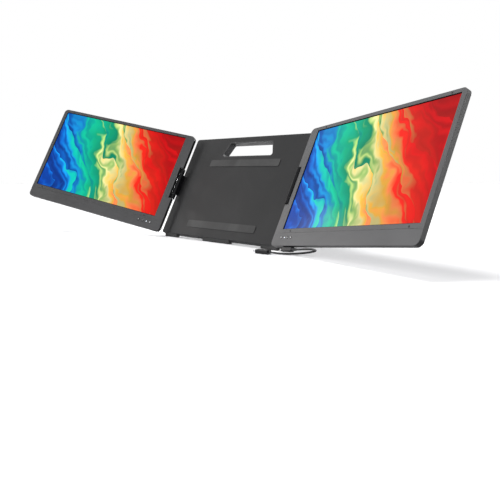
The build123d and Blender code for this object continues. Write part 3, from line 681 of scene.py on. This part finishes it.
class StageLook(bpy.types.PropertyGroup):
    """The floor's colour and the lamps' strength."""

    floor: bpy.props.FloatVectorProperty(
        name="Floor",
        description="Colour of the floor",
        subtype="COLOR",
        size=3,
        default=(0.75, 0.75, 0.76),
    )
    front_power: bpy.props.FloatProperty(
        name="Front lamp",
        description="Power of the lamp in front",
        unit="POWER",
        min=0.0,
        default=2.2,
    )
    side_power: bpy.props.FloatProperty(
        name="Side lamp",
        description="Power of the lamp on the left",
        unit="POWER",
        min=0.0,
        default=13.0,
    )
    back_power: bpy.props.FloatProperty(
        name="Back lamp",
        description="Power of the lamp behind",
        unit="POWER",
        min=0.0,
        default=0.9,
    )
    corner_power: bpy.props.FloatProperty(
        name="Back corner lamp",
        description="Power of the low lamp behind on the right",
        unit="POWER",
        min=0.0,
        default=100.0,
    )
    above_strength: bpy.props.FloatProperty(
        name="Overhead light",
        description="Strength of the soft light from above",
        min=0.0,
        default=2.5,
    )
    surroundings: bpy.props.FloatProperty(
        name="Surroundings",
        description="Strength of the light from all around",
        subtype="FACTOR",
        min=0.0,
        max=1.0,
        default=0.22,
    )
    floor_glow: bpy.props.FloatProperty(
        name="Floor glow",
        description="How far the seen floor is lifted to white",
        subtype="FACTOR",
        min=0.0,
        max=1.0,
        default=0.07,
    )


# ---- pieces


class EXTENDER_OT_stage(bpy.types.Operator):
    """Builds the floor, the lamps, the pale surroundings and the camera"""

    bl_idname = "extender.stage"
    bl_label = "Build Stage"

    def execute(self, context):
        scene = context.scene
        look = scene.extender_stage
        scene.view_settings.view_transform = "Standard"
        self.camera(scene)
        self.surroundings(scene, look)
        self.floor(scene, look)
        self.lamps(scene, look)
        return {"FINISHED"}

    def camera(self, scene):
        """The camera, turned so that it looks along its view with its top up."""
        camera = bpy.data.objects.new("camera", bpy.data.cameras.new("camera"))
        camera.data.lens = CAMERA_LENS
        camera.data.sensor_width = CAMERA_SENSOR
        camera.data.clip_end = CAMERA_REACH
        view = Vector(CAMERA_VIEW)
        right = view.cross(Vector(CAMERA_TOP)).normalized()
        axes = Matrix((right, right.cross(view), -view)).transposed().to_4x4()
        camera.matrix_world = Matrix.Translation(CAMERA_PLACE) @ axes
        scene.collection.objects.link(camera)
        scene.camera = camera

    def lamps(self, scene, look):
        """The lamps round the object, and the soft lights from above."""
        for name, power, place, target, width, spread in LAMPS:
            lamp = bpy.data.objects.new(name, bpy.data.lights.new(name, "AREA"))
            lamp.data.size = width
            lamp.data.energy = getattr(look, power)
            lamp.data.spread = radians(spread)
            lamp.visible_camera = False
            lamp.location = place
            way = Vector(target) - Vector(place)
            lamp.rotation_euler = way.to_track_quat("-Z", "Y").to_euler()
            scene.collection.objects.link(lamp)
        for name, direction, share in SUNS:
            sun = bpy.data.objects.new(name, bpy.data.lights.new(name, "SUN"))
            sun.data.energy = share * look.above_strength
            sun.data.angle = SUN_ANGLE
            sun.rotation_euler = Vector(direction).to_track_quat("Z", "Y").to_euler()
            scene.collection.objects.link(sun)

    def seen(self, shader):
        """One where a surface is looked at, also in a reflection or through glass."""
        path = shader.add("ShaderNodeLightPath").outputs
        seen = shader.math("MAXIMUM", path["Is Camera Ray"], path["Is Transmission Ray"])
        return shader.math("MAXIMUM", seen, path["Is Glossy Ray"])

    def surroundings(self, scene, look):
        """White where it is looked at, and a softer light on everything else."""
        world = bpy.data.worlds.new("studio")
        world.use_nodes = True
        scene.world = world
        shader = Shader(world.node_tree)
        soft = shader.add("ShaderNodeBackground", {0: WHITE, 1: look.surroundings}).outputs[0]
        pale = shader.add("ShaderNodeBackground", {0: WHITE, 1: 1.0}).outputs[0]
        mixed = shader.add("ShaderNodeMixShader", {0: self.seen(shader), 1: soft, 2: pale})
        shader.add("ShaderNodeOutputWorld", {0: mixed.outputs[0]})

    def floor(self, scene, look):
        """A flat square at the floor's level: a grid of x and y, three points by three."""
        steps = np.linspace(-FLOOR_HALF, FLOOR_HALF, 3)
        x, y = (axis.ravel() for axis in np.meshgrid(steps, steps))
        corners = np.column_stack([x, y, np.full(x.size, FLOOR_LEVEL)])
        faces = [(i, i + 1, i + 4, i + 3) for i in (0, 1, 3, 4)]
        mesh = bpy.data.meshes.new("floor")
        mesh.from_pydata(corners.tolist(), [], faces)
        mesh.materials.append(self.floor_finish(look))
        floor = bpy.data.objects.new("floor", mesh)
        scene.collection.objects.link(floor)

    def floor_finish(self, look):
        """A matt floor that is lifted to white where it is looked at, and more so far out."""
        finish = Finish(
            "floor", Base_Color=rgba(look.floor), Roughness=0.9, Specular_IOR_Level=0.0
        )
        shader = finish.shader
        away = shader.add("ShaderNodeVectorMath", {0: finish.place}, operation="LENGTH")
        least, most = look.floor_glow, look.floor_glow + GLOW_RISE
        lift = shader.remap(away.outputs["Value"], GLOW_NEAR, GLOW_FAR, least, most)
        glow = shader.math("MULTIPLY", self.seen(shader), lift)
        lit = shader.add("ShaderNodeEmission", {0: WHITE, 1: glow}).outputs[0]
        lifted = shader.add("ShaderNodeAddShader", {0: finish.surface.outputs[0], 1: lit})
        shader.feed(lifted.outputs[0], finish.output.inputs[0])
        return finish.material


class EXTENDER_OT_lead(bpy.types.Operator):
    """Lays the USB-C lead and finishes its plugs"""

    bl_idname = "extender.lead"
    bl_label = "Lay Lead"

    def execute(self, context):
        look = context.scene.extender_lead
        curve = bpy.data.curves.new("usb_lead_jacket", "CURVE")
        curve.dimensions = "3D"
        # The tube is as thick as this times each point's radius.
        curve.bevel_depth = 1.0
        curve.bevel_resolution = 5
        curve.resolution_u = 10
        curve.use_fill_caps = True
        spline = curve.splines.new("NURBS")
        spline.points.add(len(LEAD_ROUTE) - 1)
        for point, place in zip(spline.points, LEAD_ROUTE):
            point.co = (*place, 1)
            point.radius = look.diameter / 2
        spline.order_u = 3
        spline.use_endpoint_u = True
        lead = bpy.data.objects.new("usb_lead_jacket", curve)
        context.scene.collection.objects.link(lead)
        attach(lead, "right_wing")
        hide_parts("usb_lead")
        curve.materials.append(rubber("lead jacket", look.jacket, density=3200.0))
        overmould = moulded("plug overmould", MOULDED_BLACK, rough=0.5, specular=0.2)
        give(overmould, "wing_plug", "far_plug")
        shell = brushed("plug shell", PLUG_STEEL, rough=0.24)
        give(shell, "wing_plug_tip", "far_plug_tip", "right_usb_sockets")
        return {"FINISHED"}


class EXTENDER_OT_displays(bpy.types.Operator):
    """Lights both displays and finishes the layers behind them"""

    bl_idname = "extender.displays"
    bl_label = "Finish Displays"

    def execute(self, context):
        look = context.scene.extender_display
        for side in SIDES:
            give(display(f"{side} display", side, look.brightness), f"{side}_display_glass")
        give(moulded("light guide", GUIDE_WHITE, rough=0.4), *both("backlight"))
        plate = brushed("display back plate", SHEET_STEEL, rough=0.35)
        give(plate, *both("display_back_plate"))
        return {"FINISHED"}


class EXTENDER_OT_casings(bpy.types.Operator):
    """Finishes the wings' bezels, trims and rear covers"""

    bl_idname = "extender.casings"
    bl_label = "Finish Wing Casings"

    def execute(self, context):
        look = context.scene.extender_casing
        for side in SIDES:
            # Bezels and covers carry the painted shade on their narrow edges.
            shared = {"specular": 0.18, "shaded_rim": (side, look.shaded_rim)}
            bezel = moulded(f"charcoal bezel {side}", look.bezel, rough=0.5, **shared)
            give(bezel, f"{side}_front_bezel", f"{side}_hinge_trim")
            cover = moulded(f"slate rear cover {side}", look.cover, rough=0.46, **shared)
            give(cover, f"{side}_rear_cover")
        give(rubber("bumper rubber", RUBBER_BLACK), *both("front_bumpers"))
        return {"FINISHED"}


class EXTENDER_OT_buttons(bpy.types.Operator):
    """Finishes the push buttons and status lights"""

    bl_idname = "extender.buttons"
    bl_label = "Finish Buttons"

    def execute(self, context):
        marks = {"power_button": ring_mark, "minus_button": minus_mark, "plus_button": plus_mark}
        for side in SIDES:
            for node, mark in marks.items():
                cap = marked_cap(f"{side} {node}", side, BUTTON_ACROSS[node], mark)
                give(cap, f"{side}_{node}")
        light = Finish(
            "status light",
            Base_Color=rgba(LIGHT_LENS),
            Roughness=0.3,
            Emission_Color=rgba(LIGHT_GLOW),
            Emission_Strength=0.8,
        )
        give(light.material, *both("status_led"))
        return {"FINISHED"}


class EXTENDER_OT_hinges(bpy.types.Operator):
    """Finishes the wing hinges: barrels, leaves, pins and sleeves"""

    bl_idname = "extender.hinges"
    bl_label = "Finish Hinges"

    def execute(self, context):
        casting = moulded("hinge casting", CAST_BLACK, rough=0.34, specular=0.12)
        give(casting, *both("hinge_bracket"))
        for side in SIDES:
            leaf = hinge_leaf_finish(f"{side} hinge leaf", side, CAST_BLACK, PLATED_STEEL)
            give(leaf, f"{side}_hinge_leaf")
        turned = brushed("turned steel", TURNED_STEEL, rough=0.22)
        give(turned, *both("hinge_pin", "friction_sleeves"), "kickstand_pins")
        screws = brushed("screw steel", SCREW_STEEL, rough=0.3)
        give(screws, *both("wing_screws"), "centre_screws")
        return {"FINISHED"}


class EXTENDER_OT_electronics(bpy.types.Operator):
    """Finishes the boards, chips and ribbons inside"""

    bl_idname = "extender.electronics"
    bl_label = "Finish Electronics"

    def execute(self, context):
        give(moulded("solder mask", BOARD_GREEN, rough=0.25), *both("control_board"))
        give(moulded("chips", CHIP_BLACK, rough=0.5), *both("board_components"))
        film = moulded("ribbon film", RIBBON_AMBER, rough=0.25)
        give(film, *both("display_ribbon"), "signal_ribbon")
        return {"FINISHED"}


class EXTENDER_OT_centre(bpy.types.Operator):
    """Finishes the centre plate, its back panels and what it holds"""

    bl_idname = "extender.centre"
    bl_label = "Finish Centre Plate"

    def execute(self, context):
        look = context.scene.extender_casing
        shell = moulded("centre shell", look.shell, rough=0.55, specular=0.15)
        give(shell, "rear_shell", "front_plate")
        liner = moulded("slot liner", MOULDED_BLACK, rough=0.5, specular=0.3)
        give(liner, "handle_liner")
        panel = moulded("back panel", look.field, rough=0.4, metal=0.2, specular=0.3)
        give(panel, *both("back_panel"))
        give(brushed("stiffener steel", SHEET_STEEL, rough=0.34), "stiffener_plate")
        give(rubber("pad rubber", PAD_BLACK), "lid_pads", "base_feet")
        return {"FINISHED"}


class EXTENDER_OT_kickstand(bpy.types.Operator):
    """Finishes the kickstand"""

    bl_idname = "extender.kickstand"
    bl_label = "Finish Kickstand"

    def execute(self, context):
        look = context.scene.extender_casing
        # The stand's edges get a stronger pale band: wear, and a painted edge highlight.
        metal = moulded("stand metal", look.stand, rough=0.5, specular=0.15, wear_and_highlight=0.5)
        give(metal, "kickstand_frame")
        # The inlay's paler colour is a painted highlight on the recess floor.
        inlay = moulded("stand inlay", lighter(look.stand, 0.018), rough=0.45, specular=0.25)
        give(inlay, "kickstand_inlay")
        housing = moulded("housing metal", HOUSING_GREY, rough=0.42, specular=0.3)
        give(housing, "kickstand_hinge_housings")
        give(rubber("stand foot rubber", RUBBER_BLACK), "kickstand_foot")
        return {"FINISHED"}


class EXTENDER_PT_looks(bpy.types.Panel):
    """Lists the extender's finishes in the sidebar"""

    bl_idname = "EXTENDER_PT_looks"
    bl_label = "Screen Extender"
    bl_space_type = "VIEW_3D"
    bl_region_type = "UI"
    bl_category = "Extender"

    def draw(self, context):
        layout = self.layout
        for group in PROPERTY_GROUPS:
            box = layout.box()
            for name in GROUP_FIELDS[group]:
                box.prop(getattr(context.scene, group), name)
        for operator in OPERATORS:
            layout.operator(operator.bl_idname)


OPERATORS = (
    EXTENDER_OT_stage,
    EXTENDER_OT_lead,
    EXTENDER_OT_displays,
    EXTENDER_OT_casings,
    EXTENDER_OT_buttons,
    EXTENDER_OT_hinges,
    EXTENDER_OT_electronics,
    EXTENDER_OT_centre,
    EXTENDER_OT_kickstand,
)
PROPERTY_GROUPS = {
    "extender_casing": CasingLook,
    "extender_display": DisplayLook,
    "extender_lead": LeadLook,
    "extender_stage": StageLook,
}
GROUP_FIELDS = {name: list(group.__annotations__) for name, group in PROPERTY_GROUPS.items()}
CLASSES = (*PROPERTY_GROUPS.values(), *OPERATORS, EXTENDER_PT_looks)


def register():
    """Adds the add-on's classes and settings."""
    for item in CLASSES:
        bpy.utils.register_class(item)
    for name, group in PROPERTY_GROUPS.items():
        setattr(bpy.types.Scene, name, bpy.props.PointerProperty(type=group))


def unregister():
    """Takes the add-on's classes and settings away."""
    for name in PROPERTY_GROUPS:
        delattr(bpy.types.Scene, name)
    for item in reversed(CLASSES):
        bpy.utils.unregister_class(item)


def main():
    """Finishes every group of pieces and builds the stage."""
    register()
    bpy.ops.extender.stage()
    bpy.ops.extender.lead()
    bpy.ops.extender.displays()
    bpy.ops.extender.casings()
    bpy.ops.extender.buttons()
    bpy.ops.extender.hinges()
    bpy.ops.extender.electronics()
    bpy.ops.extender.centre()
    bpy.ops.extender.kickstand()


if __name__ == "__main__":
    main()
